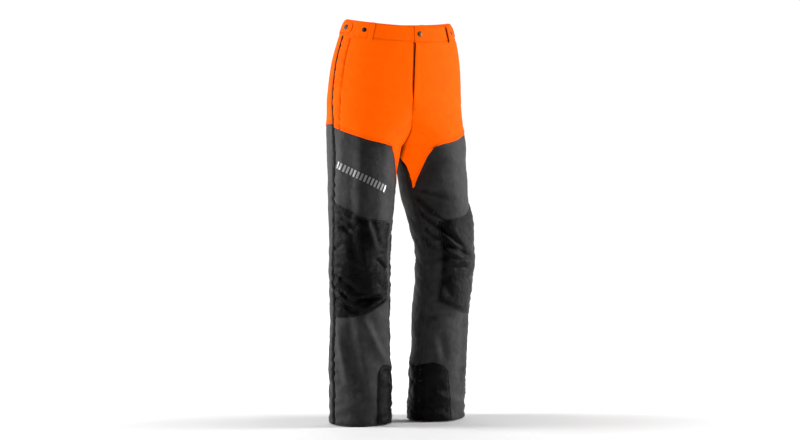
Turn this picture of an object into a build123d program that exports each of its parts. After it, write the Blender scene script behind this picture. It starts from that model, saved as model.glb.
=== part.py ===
from build123d import *
import math
import os

# Protective chainsaw trousers, millimetres. +Z is up, the front faces -Y and +X is the
# wearer's left. The origin is the centre of the waist opening, level with its sides.

# Driving dimensions
OUTSEAM = 1080.0
BAND_HEIGHT = 43.0
RIM_SLOPE = 0.2  # the rim drops towards the front by this share of the depth
SEAT_END = -195.0
HIP_END = -400.0
KNEE_START = -550.0
KNEE_END = -730.0
ZONE_GAP = 1.0
EDGE_GAP = 0.4  # between the waistband and what is sewn to it
GRID = 15.0  # spacing of the sections that the panels are lofted through

# Layers, measured inwards from the face of the outer cloth
CLOTH = 1.2
BAND = 2.4
POCKET_BAG = (2.6, 3.6)
PAD = (1.5, 7.5)
LINING = (7.8, 8.6)
PATCH = (-1.2, -0.3)
FLAP = (-1.5, -0.3)
TAB = (-2.6, -1.2)
BACK_POCKET = (-1.4, -0.3)
POCKET_FLAP = (-3.6, -2.4)
SHIELD = (10.5, 11.5)
SEAM_GAP = 0.4  # degrees
CENTRE_GAP = 0.3
LIFT = 0.1  # between hardware and the cloth it is fixed to

# Fly and zip
FLY_FREE_EDGE = 0.0
FLY_HINGE_X = 38.0
FLY_OPENING_END = -255.0
FLY_OPENING_CURVE = 15.0
LEFT_PANEL_EDGE = 20.0
RIGHT_BAND_EDGE = 29.0
SHIELD_EDGES = (34.0, 0.5)
TAB_CLEARANCE = 1.0
TAB_FREE_EDGE = -2.0
FRONT_SNAP_X = 12.0
ZIP_X = 10.0
ZIP_TOP = -74.0
ZIP_BOTTOM = -240.0
ZIP_DEPTH = 6.0
COIL_SLOT = 0.7  # half the slot between the two coils
COIL_EDGE = 2.7
COIL_THICK = 2.2
SLIDER = (9.0, 5.2, 11.0)
SLIDER_PLAY = 0.3
STOP = (1.8, 3.4, 2.4)  # a stop's width, thickness and height
TAPE_WIDTH = 15.0
TAPE_THICK = 0.6
TAPE_SPARE = 6.0  # tape beyond each end of the coils
BAIL = (2.0, 2.4, 7.0)
BAIL_EYE = (3.0, 1.4, 4.6)
PULL = (6.0, 1.0, 20.0)
PULL_HOLE = (3.0, 2.0, 3.6)

# Snap fasteners
CAP_RADIUS = 7.5
CAP_HEIGHT = 2.2
SOCKET_RADIUS = 3.4
SOCKET_DEPTH = 1.2
STUD_BASE = (6.5, 0.6)
STUD_POST = (2.2, 3.2)

# Side adjusters, angles round the waist from the wearer's side, forwards is negative
TAB_HEIGHT = 30.0
TAB_HINGE = 25.0
TAB_TIP = -18.5
TAB_SNAP = -7.0
SPARE_STUD = -36.0
LOOP_ANGLES = (-45.0, 45.0)
LOOP_HALF_ANGLE = 2.3
LOOP_FOOT = 7.0
LOOP_GAP = 3.0
LOOP_THICK = 1.6
LOOP_REST = 0.3

# Pads, patches and pockets: angles round a section, heights below the waist
PAD_TOP = -285.0
PAD_HEM = 45.0  # from the pad's foot to the trousers' hem
PAD_MARGIN = 4.0
PAD_GAP = 2.0
LINING_MARGIN = 1.0
KNEE_PATCH_EDGE = -142.0
ANKLE_PATCH_EDGES = (-107.0, -210.0)
ANKLE_PATCH_TOP = -925.0
POCKET_BAG_EDGES = (-12.0, -58.0)
BACK_POCKET_EDGES = (38.0, 66.0)
BACK_POCKET_TOP = -98.0
POCKET_FLAP_HEIGHTS = (-88.0, -108.0, -126.0)
POCKET_SNAP_HEIGHT = -116.0

# Sections down one half: height, centre x and y, outer and inner half width,
# front and back half depth, and how far the section is turned outwards in degrees
LEVELS = (
    (0.0, 0.0, 0.0, 150.0, 150.0, 106.0, 106.0, 0.0),
    (-55.0, 0.0, 4.0, 169.0, 169.0, 112.0, 118.0, 0.0),
    (-120.0, 0.0, 12.0, 183.0, 183.0, 116.0, 134.0, 0.0),
    (-206.0, 10.0, 20.0, 180.0, 166.0, 118.5, 145.0, 0.0),
    (-250.0, 32.0, 16.0, 160.0, 140.0, 112.0, 145.0, 0.0),
    (-293.0, 60.0, 10.0, 134.0, 112.0, 108.0, 140.0, 0.0),
    (-335.0, 90.0, 6.0, 105.0, 95.0, 104.0, 128.0, 0.0),
    (-370.0, 100.0, 4.0, 95.5, 94.0, 101.0, 118.0, 0.0),
    (-444.0, 107.0, 1.0, 90.0, 90.0, 101.0, 111.0, 6.0),
    (-509.0, 114.0, -9.0, 87.0, 87.0, 93.0, 97.0, 10.0),
    (-560.0, 121.0, -21.0, 84.0, 84.0, 83.0, 87.0, 13.0),
    (-640.0, 127.0, -29.0, 82.5, 82.5, 74.0, 77.0, 15.0),
    (-770.0, 121.0, -17.0, 80.5, 80.5, 71.0, 71.0, 15.0),
    (-900.0, 118.0, -9.0, 83.0, 83.0, 68.0, 68.0, 15.0),
    (-OUTSEAM, 113.5, -3.0, 83.0, 83.0, 69.0, 69.0, 15.0),
)
CROTCH = -350.0
INSEAM = -163.0

SIDES = {"right": -1, "left": 1}


def smooth(start, end, value):
    """0 at start, 1 at end, with level ends."""
    t = min(max((value - start) / (end - start), 0.0), 1.0)
    return t * t * (3 - 2 * t)


def section(z):
    """The section's seven sizes at a height, smoothly between the levels."""
    last = len(LEVELS) - 2
    k = next((n for n in range(last) if z > LEVELS[n + 1][0]), last)
    before, low = LEVELS[max(k - 1, 0)], LEVELS[k]
    high, after = LEVELS[k + 1], LEVELS[min(k + 2, last + 1)]
    span = high[0] - low[0]
    t = min(max((z - low[0]) / span, 0.0), 1.0)
    sizes = []
    for n in range(1, 8):
        slope_low = (high[n] - before[n]) / (high[0] - before[0]) * span
        slope_high = (after[n] - low[n]) / (after[0] - low[0]) * span
        hold = 2 * t**3 - 3 * t**2 + 1
        sizes.append(
            hold * low[n]
            + (t**3 - 2 * t**2 + t) * slope_low
            + (1 - hold) * high[n]
            + (t**3 - t**2) * slope_high
        )
    return sizes


def skin(side, z, angle, inset=0.0, slope=0.0):
    """A point under the trousers' face: angle 0 is the outer side, -90 the front."""
    cx, cy, out, inner, front, back, turn = section(z)
    c, s = math.cos(math.radians(angle)), math.sin(math.radians(angle))
    wide = out if c > 0 else inner
    deep = front if s < 0 else back
    nx, ny = c / wide, s / deep
    size = math.hypot(nx, ny)
    x, y = wide * c - inset * nx / size, deep * s - inset * ny / size
    tc, ts = math.cos(math.radians(turn)), math.sin(math.radians(turn))
    across, along = cx + x * tc - y * ts, cy + x * ts + y * tc
    return Vector(side * across, along, z + slope * along)


def outward(side, z, angle, slope=0.0):
    """The outward normal of the face at a point."""
    around = skin(side, z, angle + 1, 0.0, slope) - skin(side, z, angle - 1, 0.0, slope)
    upward = skin(side, z + 2, angle, 0.0, slope) - skin(side, z - 2, angle, 0.0, slope)
    return (around.cross(upward) * side).normalized()


def front_slope(z):
    """How steeply a section is tilted with the rim, fading out below the seat."""
    return RIM_SLOPE * min(max((z - SEAT_END) / (-BAND_HEIGHT - SEAT_END), 0.0), 1.0)


def level(z):
    return 0.0


def centre(z, x=CENTRE_GAP):
    """The angle at which a half reaches a distance from the centre plane."""
    cx, _, out, inner = section(z)[:4]
    reach = x - cx
    return math.degrees(math.acos(max(reach / (out if reach > 0 else inner), -1.0)))


def side_seam(z):
    return -4.0 - 5.0 * smooth(-206.0, CROTCH, z) - section(z)[6]


def front_inner(z):
    """The front panel's inner edge: the centre seam, then the inseam."""
    return -centre(z) + (INSEAM + 180.0) * smooth(CROTCH, CROTCH - 50.0, z)


def back_inner(z):
    return centre(z) + (INSEAM + 180.0) * smooth(CROTCH, CROTCH - 50.0, z)


def strip(side, levels, start, end, layer, tilt=level, points=9):
    """A curved sheet between two angles and two insets, through the given levels."""
    wires = []
    for z in levels:
        angles = [start(z) + (end(z) - start(z)) * k / (points - 1) for k in range(points)]
        outer = [skin(side, z, a, layer[0], tilt(z)) for a in angles]
        inner = [skin(side, z, a, layer[1], tilt(z)) for a in reversed(angles)]
        edges = [
            Edge.make_spline(outer),
            Edge.make_line(outer[-1], inner[0]),
            Edge.make_spline(inner),
            Edge.make_line(inner[-1], outer[0]),
        ]
        wires.append(Wire(edges))
    return Solid.make_loft(wires, True)


def steps(top, bottom):
    """Heights from top to bottom, on one grid for every layer, so that layers nest."""
    first, last = math.ceil(-top / GRID + 0.2), math.floor(-bottom / GRID - 0.2)
    return [top] + [-GRID * k for k in range(first, last + 1)] + [bottom]


def front_panel(side, top, bottom, layer=(0.0, CLOTH), margin=SEAM_GAP, tilt=level):
    return strip(
        side,
        steps(top, bottom),
        lambda z: side_seam(z) - margin,
        lambda z: front_inner(z) + margin,
        layer,
        tilt,
    )


def back_panel(side, top, bottom):
    return strip(
        side,
        steps(top, bottom),
        lambda z: side_seam(z) + SEAM_GAP,
        lambda z: back_inner(z) - SEAM_GAP,
        (0.0, CLOTH),
        points=13,
    )


def fixed(angle):
    return lambda z: angle


def disc(at, normal, radius, height, lift=0.0):
    """A round plate whose back face is the given lift above a point."""
    plane = Plane(origin=at + normal * lift, z_dir=normal)
    return plane * Cylinder(radius, height, align=(Align.CENTER, Align.CENTER, Align.MIN))


def stud(at, normal):
    return disc(at, normal, *STUD_BASE, LIFT) + disc(at, normal, *STUD_POST, LIFT)


def cap(at, normal):
    """A snap's cap, with the socket that the stud's post goes into."""
    lift = -TAB[0] + LIFT
    socket = disc(at, normal, SOCKET_RADIUS, SOCKET_DEPTH, lift)
    return disc(at, normal, CAP_RADIUS, CAP_HEIGHT, lift) - socket


def eyelet(at, normal):
    """The hole that a stud's post needs in the cloth over it."""
    return disc(at, normal, SOCKET_RADIUS, 6.0)


def seat_parts(side, name):
    """The panels, waistband and side pocket above one leg."""
    body = {}
    underlap = 180.0 - centre(0.0, RIGHT_BAND_EDGE)
    band_end = -underlap if side < 0 else -centre(0.0, FLY_HINGE_X + CENTRE_GAP)
    body[f"waistband_front_{name}"] = strip(
        side,
        (0.0, -BAND_HEIGHT / 2, -BAND_HEIGHT),
        lambda z: side_seam(z) - SEAM_GAP,
        fixed(band_end),
        (0.0, BAND),
        lambda z: RIM_SLOPE,
        points=11,
    )
    heights = steps(-BAND_HEIGHT - EDGE_GAP, SEAT_END)
    panel_edge = CENTRE_GAP if side < 0 else LEFT_PANEL_EDGE
    body[f"upper_front_panel_{name}"] = strip(
        side,
        heights,
        lambda z: side_seam(z) - SEAM_GAP,
        lambda z: -centre(z, panel_edge),
        (0.0, CLOTH),
        front_slope,
    )
    body[f"upper_back_panel_{name}"] = back_panel(
        side, -BAND_HEIGHT - EDGE_GAP, SEAT_END
    )
    body[f"pocket_bag_{name}"] = strip(
        side,
        steps(-BAND_HEIGHT - PAD_MARGIN, SEAT_END + PAD_MARGIN),
        fixed(POCKET_BAG_EDGES[0]),
        fixed(POCKET_BAG_EDGES[1]),
        POCKET_BAG,
        front_slope,
    )
    return body


def waistband_back():
    """The elastic back of the waistband, from one side seam round to the other."""
    halves = []
    for side in SIDES.values():
        halves.append(
            strip(
                side,
                (0.0, -BAND_HEIGHT / 2, -BAND_HEIGHT),
                lambda z: side_seam(z) + SEAM_GAP,
                fixed(90.0),
                (0.0, BAND),
                points=11,
            )
        )
    return halves[0] + halves[1]


def left_panel_end(z):
    """The left hip panel's inner edge: beside the fly's opening, then at the centre seam."""
    if z < FLY_OPENING_END - FLY_OPENING_CURVE - 1:
        return front_inner(z)
    closed = smooth(FLY_OPENING_END, FLY_OPENING_END - FLY_OPENING_CURVE, z)
    return -centre(z, LEFT_PANEL_EDGE + (CENTRE_GAP - LEFT_PANEL_EDGE) * closed)


def leg_parts(side, name):
    """The sewn tube of one leg in its four stretches, with pads, lining and patches."""
    body = {}
    zones = {
        "hip": (SEAT_END - ZONE_GAP, HIP_END),
        "thigh": (HIP_END - ZONE_GAP, KNEE_START),
        "knee": (KNEE_START - ZONE_GAP, KNEE_END),
        "shin": (KNEE_END - ZONE_GAP, -OUTSEAM),
    }
    for zone, (top, bottom) in zones.items():
        body[f"{zone}_front_panel_{name}"] = front_panel(side, top, bottom)
        body[f"{zone}_back_panel_{name}"] = back_panel(side, top, bottom)
    # The left hip panel leaves the fly opening free down to its end
    if side > 0:
        body[f"hip_front_panel_{name}"] = strip(
            side,
            steps(SEAT_END - ZONE_GAP, HIP_END),
            lambda z: side_seam(z) - SEAM_GAP,
            left_panel_end,
            (0.0, CLOTH),
        )
    pads = {
        "hip": (PAD_TOP, HIP_END + PAD_GAP),
        "thigh": (HIP_END - ZONE_GAP - PAD_GAP, KNEE_START + PAD_GAP),
        "knee": (KNEE_START - ZONE_GAP - PAD_GAP, KNEE_END + PAD_GAP),
        "shin": (KNEE_END - ZONE_GAP - PAD_GAP, -OUTSEAM + PAD_HEM),
    }
    for zone, (top, bottom) in pads.items():
        body[f"{zone}_pad_{name}"] = front_panel(side, top, bottom, PAD, PAD_MARGIN)
    for zone in ("thigh", "shin"):
        top, bottom = pads[zone]
        body[f"{zone}_lining_{name}"] = strip(
            side,
            steps(top, bottom),
            lambda z: side_seam(z) + LINING_MARGIN,
            lambda z: side_seam(z) + 360.0 - LINING_MARGIN,
            LINING,
            points=25,
        )
    body[f"knee_patch_{name}"] = strip(
        side,
        steps(KNEE_START - ZONE_GAP, KNEE_END),
        lambda z: side_seam(z) - LINING_MARGIN,
        fixed(KNEE_PATCH_EDGE),
        PATCH,
    )
    body[f"ankle_patch_{name}"] = strip(
        side,
        steps(ANKLE_PATCH_TOP, -OUTSEAM + ZONE_GAP),
        fixed(ANKLE_PATCH_EDGES[0]),
        fixed(ANKLE_PATCH_EDGES[1]),
        PATCH,
    )
    return body


def fly_line(z, depth):
    """A point on the zip's straight line, a depth behind the cloth at its ends."""
    top, bottom = front_point(ZIP_X, ZIP_TOP), front_point(ZIP_X, ZIP_BOTTOM)
    t = (z - ZIP_TOP) / (ZIP_BOTTOM - ZIP_TOP)
    return Vector(ZIP_X, top.Y + (bottom.Y - top.Y) * t + depth, z)


def front_point(x, z):
    """The face of the left front at a distance from the centre, at a true height."""
    nominal = z
    for _ in range(12):
        nominal = z - front_slope(nominal) * skin(1, nominal, -centre(nominal, x)).Y
    return skin(1, nominal, -centre(nominal, x), 0.0, front_slope(nominal))


def fly_frame(z, depth=ZIP_DEPTH):
    """A plane across the zip at a height: x sideways, z along the zip."""
    along = (fly_line(ZIP_TOP, 0) - fly_line(ZIP_BOTTOM, 0)).normalized()
    return Plane(origin=fly_line(z, depth), x_dir=(1, 0, 0), z_dir=along)


def zip_parts():
    """The two coils with their stops, the tapes, the slider and its pull, closed."""
    length = ZIP_TOP - ZIP_BOTTOM
    middle = fly_frame((ZIP_TOP + ZIP_BOTTOM) / 2)
    stop_width, stop_thick, stop_height = STOP
    past = (stop_height + SLIDER_PLAY) / 2
    chain = [fly_frame(ZIP_BOTTOM - past) * Box(2 * COIL_EDGE, stop_thick, stop_height)]
    tapes = []
    for way in (-1, 1):
        coil = way * (COIL_SLOT + COIL_EDGE) / 2
        chain.append(middle * Pos(coil, 0, 0) * Box(COIL_EDGE - COIL_SLOT, COIL_THICK, length))
        chain.append(fly_frame(ZIP_TOP + past) * Pos(coil, 0, 0) * Box(*STOP))
        tape = middle * Pos(way * (COIL_EDGE + 0.2 + TAPE_WIDTH / 2), 0, 0)
        tapes.append(tape * Box(TAPE_WIDTH, TAPE_THICK, length + 2 * TAPE_SPARE))
    width, deep, high = SLIDER
    at = fly_frame(ZIP_TOP - high / 2 - 1.0)
    channel = Box(2 * (COIL_EDGE + SLIDER_PLAY), COIL_THICK + 2 * SLIDER_PLAY, high + 2)
    slot = Box(width + 2, TAPE_THICK + 2 * SLIDER_PLAY, high + 2)
    blade = Box(2 * (COIL_SLOT - SLIDER_PLAY), deep - 1, high / 2)
    bail = Box(*BAIL) - Pos(0, 0.5, 0) * Box(*BAIL_EYE)
    front = -deep / 2
    shell = Box(width, deep, high) - channel - slot + blade
    shell += Pos(0, front - BAIL[1] / 2, 2.0) * bail
    pull = Box(*PULL) - Pos(0, 0, PULL[2] / 2 - 3.0) * Box(*PULL_HOLE)
    return {
        "zip_chain": Compound(children=chain),
        "zip_tapes": Compound(children=tapes),
        "zip_slider": at * shell,
        "zip_pull": at * Pos(0, front - 0.7, -7.4) * pull,
    }


def fly_parts():
    """The overlapping flap, the waistband's tab over it and the front snap."""
    heights = steps(-BAND_HEIGHT - 1.5 * EDGE_GAP, FLY_OPENING_END + 5)
    flap = strip(
        1,
        heights,
        lambda z: -centre(z, FLY_HINGE_X - CENTRE_GAP),
        lambda z: -centre(z, FLY_FREE_EDGE),
        FLAP,
        front_slope,
        points=5,
    )
    tab = strip(
        1,
        (0.0, -BAND_HEIGHT / 2, -BAND_HEIGHT + TAB_CLEARANCE),
        fixed(-centre(0.0, FLY_HINGE_X - TAB_CLEARANCE)),
        fixed(-centre(0.0, TAB_FREE_EDGE)),
        TAB,
        lambda z: RIM_SLOPE,
        points=5,
    )
    z = -BAND_HEIGHT / 2
    angle = -centre(z, FRONT_SNAP_X)
    at = skin(1, z, angle, 0.0, RIM_SLOPE)
    normal = outward(1, z, angle, RIM_SLOPE)
    shield = strip(
        1,
        steps(-BAND_HEIGHT - 1.5 * EDGE_GAP, SEAT_END),
        lambda z: -centre(z, SHIELD_EDGES[0]),
        lambda z: -centre(z, SHIELD_EDGES[1]),
        SHIELD,
        front_slope,
        points=5,
    )
    parts = {
        "fly_flap": flap,
        "waistband_tab": tab - eyelet(at, normal),
        "front_snap_cap": cap(at, normal),
        "fly_shield": shield,
    }
    return parts, stud(at, normal)


def adjuster_parts(side, name):
    """The side adjuster's tab and snap, and the studs on the waistband."""
    middle = -BAND_HEIGHT / 2
    tab = strip(
        side,
        (middle + TAB_HEIGHT / 2, middle, middle - TAB_HEIGHT / 2),
        fixed(TAB_HINGE),
        fixed(TAB_TIP),
        TAB,
        points=11,
    )
    at, normal = skin(side, middle, TAB_SNAP), outward(side, middle, TAB_SNAP)
    tip = skin(side, middle, TAB_TIP + 3)
    rounding = Plane(origin=tip, z_dir=normal) * Cylinder(TAB_HEIGHT / 2, 60.0)
    blunt = strip(
        side,
        (middle + TAB_HEIGHT, middle - TAB_HEIGHT),
        fixed(TAB_SNAP + 2.0),
        fixed(TAB_TIP - 2.0),
        (TAB[0] - 1, TAB[1] + 1),
    )
    rounded = Plane(origin=at, z_dir=normal) * Cylinder(TAB_HEIGHT / 2 + 6.0, 60.0)
    tab = tab - (blunt - rounded) - eyelet(at, normal)
    parts = {f"adjuster_tab_{name}": tab, f"adjuster_cap_{name}": cap(at, normal)}
    spare = skin(side, middle, SPARE_STUD, 0.0, RIM_SLOPE)
    studs = [stud(at, normal), stud(spare, outward(side, middle, SPARE_STUD, RIM_SLOPE))]
    return parts, studs


def belt_loops():
    """Five straps that stand off the waistband, joined to it at both ends."""
    places = [(side, angle) for side in SIDES.values() for angle in LOOP_ANGLES]
    loops = []
    for side, angle in places + [(1, 90.0)]:
        edges = fixed(angle - LOOP_HALF_ANGLE), fixed(angle + LOOP_HALF_ANGLE)
        tilt = front_slope if angle < 0 else level
        outside = -LOOP_GAP - LOOP_THICK
        low = -BAND_HEIGHT - LOOP_FOOT
        heights = (0.0, -LOOP_FOOT, -BAND_HEIGHT / 2, -BAND_HEIGHT, low)
        loop = strip(side, heights, *edges, (outside, -LOOP_GAP), tilt, 5)
        for foot in (heights[:2], heights[3:]):
            loop += strip(side, foot, *edges, (outside, -LOOP_REST), tilt, 5)
        loops.append(loop)
    return Compound(children=loops)


def back_pocket_parts():
    """A patch pocket on the right of the seat, with a flap that has a snap."""
    side = SIDES["right"]
    left, right = BACK_POCKET_EDGES
    heights = steps(BACK_POCKET_TOP, SEAT_END)
    pocket = strip(side, heights, fixed(left), fixed(right), BACK_POCKET)
    flap = strip(side, POCKET_FLAP_HEIGHTS, fixed(left - 1), fixed(right + 1), POCKET_FLAP)
    middle = (left + right) / 2
    at = skin(side, POCKET_SNAP_HEIGHT, middle, POCKET_FLAP[0] - LIFT)
    normal = outward(side, POCKET_SNAP_HEIGHT, middle)
    return {
        "back_pocket": pocket,
        "pocket_flap": flap,
        "pocket_flap_cap": disc(at, normal, CAP_RADIUS, CAP_HEIGHT, LIFT),
    }


def build():
    parts = {"waistband_back": waistband_back(), "belt_loops": belt_loops()}
    studs = []
    for name, side in SIDES.items():
        parts |= seat_parts(side, name)
        parts |= leg_parts(side, name)
        adjuster, more = adjuster_parts(side, name)
        parts |= adjuster
        studs += more
    fly, front_stud = fly_parts()
    parts |= fly
    parts |= zip_parts()
    parts |= back_pocket_parts()
    parts["snap_studs"] = Compound(children=studs + [front_stud])
    return parts


os.makedirs("parts", exist_ok=True)
for node, shape in build().items():
    shape.label = node
    export_step(shape, f"parts/{node}.step")
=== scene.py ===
"""Protective chainsaw trousers, standing empty as if worn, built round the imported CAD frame.

Lengths in this script are millimetres until a mesh is made, and then metres.
Each half is a sewn tube, described by sections down its height. An angle goes
round a section: 0 is the wearer's outer side, -90 the front, 90 the back.
"""

import math
from functools import partial

import bmesh
import bpy
import numpy as np
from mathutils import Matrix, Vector


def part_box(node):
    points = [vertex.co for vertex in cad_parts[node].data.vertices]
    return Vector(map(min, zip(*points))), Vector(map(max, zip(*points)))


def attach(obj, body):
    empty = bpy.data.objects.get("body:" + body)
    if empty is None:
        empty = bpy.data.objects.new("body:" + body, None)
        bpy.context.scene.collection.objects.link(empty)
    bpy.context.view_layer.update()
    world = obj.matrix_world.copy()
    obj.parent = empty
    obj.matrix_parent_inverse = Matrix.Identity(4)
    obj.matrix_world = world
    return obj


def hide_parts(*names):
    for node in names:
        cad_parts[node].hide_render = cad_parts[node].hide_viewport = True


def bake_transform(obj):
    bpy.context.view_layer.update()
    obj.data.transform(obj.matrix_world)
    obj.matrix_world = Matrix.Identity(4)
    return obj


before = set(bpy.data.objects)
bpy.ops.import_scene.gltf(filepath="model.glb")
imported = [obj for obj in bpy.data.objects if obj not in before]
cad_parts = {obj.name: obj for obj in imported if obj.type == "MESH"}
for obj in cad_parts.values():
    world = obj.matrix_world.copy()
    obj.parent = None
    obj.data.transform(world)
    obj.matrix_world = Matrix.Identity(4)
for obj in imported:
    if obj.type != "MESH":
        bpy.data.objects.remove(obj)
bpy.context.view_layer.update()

MM = 0.001
SIDES = {"right": -1, "left": 1}

# ---- the pattern

OUTSEAM = 1080.0
BAND = 43.0
BAND_MIDDLE = -BAND / 2
BAND_SEWN = -BAND + 0.5  # where the orange goes under the band
BAND_THICK = 2.4
CROTCH = -350.0
INSEAM = -163.0  # an angle
SEAT_END = -195.0
BACK_STRIP = -278.0  # the orange's lower edge at the back, beside the side seam
HEM = 38.0
LEG_SPLIT = -556.0  # where the thigh's meshes end and the shin's begin, in the rigid part
RIM_SLOPE = 0.2  # the rim drops towards the front by this share of the depth
SEAM_GAP = 0.45  # degrees from the side seam to the panels on both sides of it
POCKET_EDGE = -22.0  # the angle of the side pockets' openings

# the fly's end, and distances from the middle: the flap's sewn edge, both front edges, the snap
FLY_END = -255.0
FLY_HINGE = 38.0
LEFT_EDGE, RIGHT_EDGE = 20.0, 0.3
FRONT_SNAP = 12.0
# angles of the side snap and of the spare post that tightens the waist
SIDE_SNAP, SPARE_STUD = -7.0, -36.0

# the side adjusters' tab: its two ends as angles, and half its height
TAB_SEWN, TAB_TIP, TAB_HALF = 25.0, -18.5, 15.0
# the back pocket and its flap: angles of their edges, heights of their tops
POCKET_SIDES, POCKET_TOP = (38, 66), -98.0
FLAP_SIDES, FLAP_TOP = (37, 67), -88.0
# how far from a piece's edge its stitches run
EDGE_ROW = 3.2
PATCH_ROWS = (2.4, 10.4)
YOKE_ROWS = (2.2, 8.6)
# where the saw protection and the lining begin, and how far above the hem they end
WADDING_TOP, LINING_TOP, HEM_CLEAR = -286.0, -403.0, 46.0
QUILT = 46.0  # between the rows of quilting
# the reflective strip: its two ends as angle and height, its bars and their height
STRIP_START, STRIP_END = (-20.0, -388.0), (-117.0, -455.0)
STRIP_BARS, STRIP_TALL = 15, 19.0

# how the meshes are cut up
LEG_RADIUS = 90.0  # a typical radius, to measure a piece's width by
FINE_REACH = 16.0  # how far from an edge the columns stay close together
STEEP = 3.0  # a step from one column to the next that calls for more columns
TURNED_SIDES, TURNED_SHARP = 32, 35  # sides of a snap, and the angle at which its edges show
LEAST_FILL = 0.31  # the least share of its flat rectangle that a sheet fills

# height, centre x and y, outer and inner half width, front and back half depth,
# and how far the section is turned outwards
LEVELS = np.array([
    (0, 0, 0, 150, 150, 106, 106, 0),
    (-55, 0, 4, 169, 169, 112, 118, 0),
    (-120, 0, 12, 183, 183, 116, 134, 0),
    (-206, 10, 20, 180, 166, 118.5, 145, 0),
    (-250, 32, 16, 160, 140, 112, 145, 0),
    (-293, 60, 10, 134, 112, 108, 140, 0),
    (-335, 90, 6, 105, 95, 104, 128, 0),
    (-370, 100, 4, 95.5, 94, 101, 118, 0),
    (-444, 107, 1, 90, 90, 101, 111, 6),
    (-509, 114, -9, 87, 87, 93, 97, 10),
    (-560, 121, -21, 84, 84, 83, 87, 13),
    (-640, 127, -29, 82.5, 82.5, 74, 77, 15),
    (-770, 121, -17, 80.5, 80.5, 71, 71, 15),
    (-900, 118, -9, 83, 83, 68, 68, 15),
    (-OUTSEAM, 113.5, -3, 83, 83, 69, 69, 15),
], float)


def unit(vectors):
    """The same directions with a length of one."""
    return vectors / np.maximum(np.linalg.norm(vectors, axis=-1, keepdims=True), 1e-9)


def smooth(start, end, value):
    """0 at start, 1 at end, with level ends."""
    t = np.clip((np.asarray(value, float) - start) / (end - start), 0, 1)
    return t * t * (3 - 2 * t)


def hump(middle, width, value):
    """1 in the middle, fading to 0 about a width away."""
    return np.exp(-(((np.asarray(value, float) - middle) / width) ** 2))


def hermite(t, low, high, slope_low, slope_high):
    """A cubic between two values, with its slope at both ends."""
    hold = 2 * t**3 - 3 * t**2 + 1
    bend = (t**3 - 2 * t**2 + t) * slope_low
    return hold * low + bend + (1 - hold) * high + (t**3 - t**2) * slope_high


def section(z):
    """The section's seven sizes at each height, smoothly between the levels."""
    z = np.clip(np.asarray(z, float), -OUTSEAM, 0)
    last = len(LEVELS) - 2
    k = np.clip(np.searchsorted(-LEVELS[:, 0], -z, side="left") - 1, 0, last)
    before, low = LEVELS[np.maximum(k - 1, 0)], LEVELS[k]
    high, after = LEVELS[k + 1], LEVELS[np.minimum(k + 2, last + 1)]
    span = (high - low)[..., :1]
    t = np.clip((z[..., None] - low[..., :1]) / span, 0, 1)
    slope_low = (high - before) / (high - before)[..., :1] * span
    slope_high = (after - low) / (after - low)[..., :1] * span
    return np.moveaxis(hermite(t, low, high, slope_low, slope_high), -1, 0)[1:]


def centre(z, x=0.0):
    """The angle at which a half reaches a distance from the centre plane."""
    cx, _, out, inner = section(z)[:4]
    reach = x - cx
    return np.degrees(np.arccos(np.clip(reach / np.where(reach > 0, out, inner), -1, 1)))


def side_seam(z):
    return -4.0 - 5.0 * smooth(-206, CROTCH, z) - section(z)[6]


def front_inner(z):
    """The front's inner edge: the centre seam, then the inseam."""
    return -centre(z) + (INSEAM + 180) * smooth(CROTCH, CROTCH - 50, z)


def back_inner(z):
    return centre(z) + (INSEAM + 180) * smooth(CROTCH, CROTCH - 50, z)


def radius_at(z):
    sizes = section(z)
    return 0.5 * (sizes[2] + sizes[4])


def arc(z, degrees):
    """Millimetres along the cloth for an angle at a height."""
    return np.radians(degrees) * radius_at(z)


def waves(value, length, seed):
    """An irregular ripple from -1 to 1 with about the given wavelength."""
    rng = np.random.default_rng(seed)
    total = 0.0
    for _ in range(5):
        stretch, phase = rng.uniform(0.6, 1.7), rng.uniform(0, 2 * math.pi)
        total = total + np.sin(np.asarray(value) * 2 * math.pi / (length * stretch) + phase)
    return total / 2.6


# ---- the drape: folds


def line_distance(angle, z, start, top, end, foot):
    """How far a point is to one side of a line on the cloth, and how far along it is."""
    across, down = math.radians(end - start) * 85.0, foot - top
    length = math.hypot(across, down)
    u, v = np.radians(angle - start) * np.minimum(radius_at(z), 120), z - top
    return (u * down - v * across) / length, (u * across + v * down) / length**2


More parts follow.
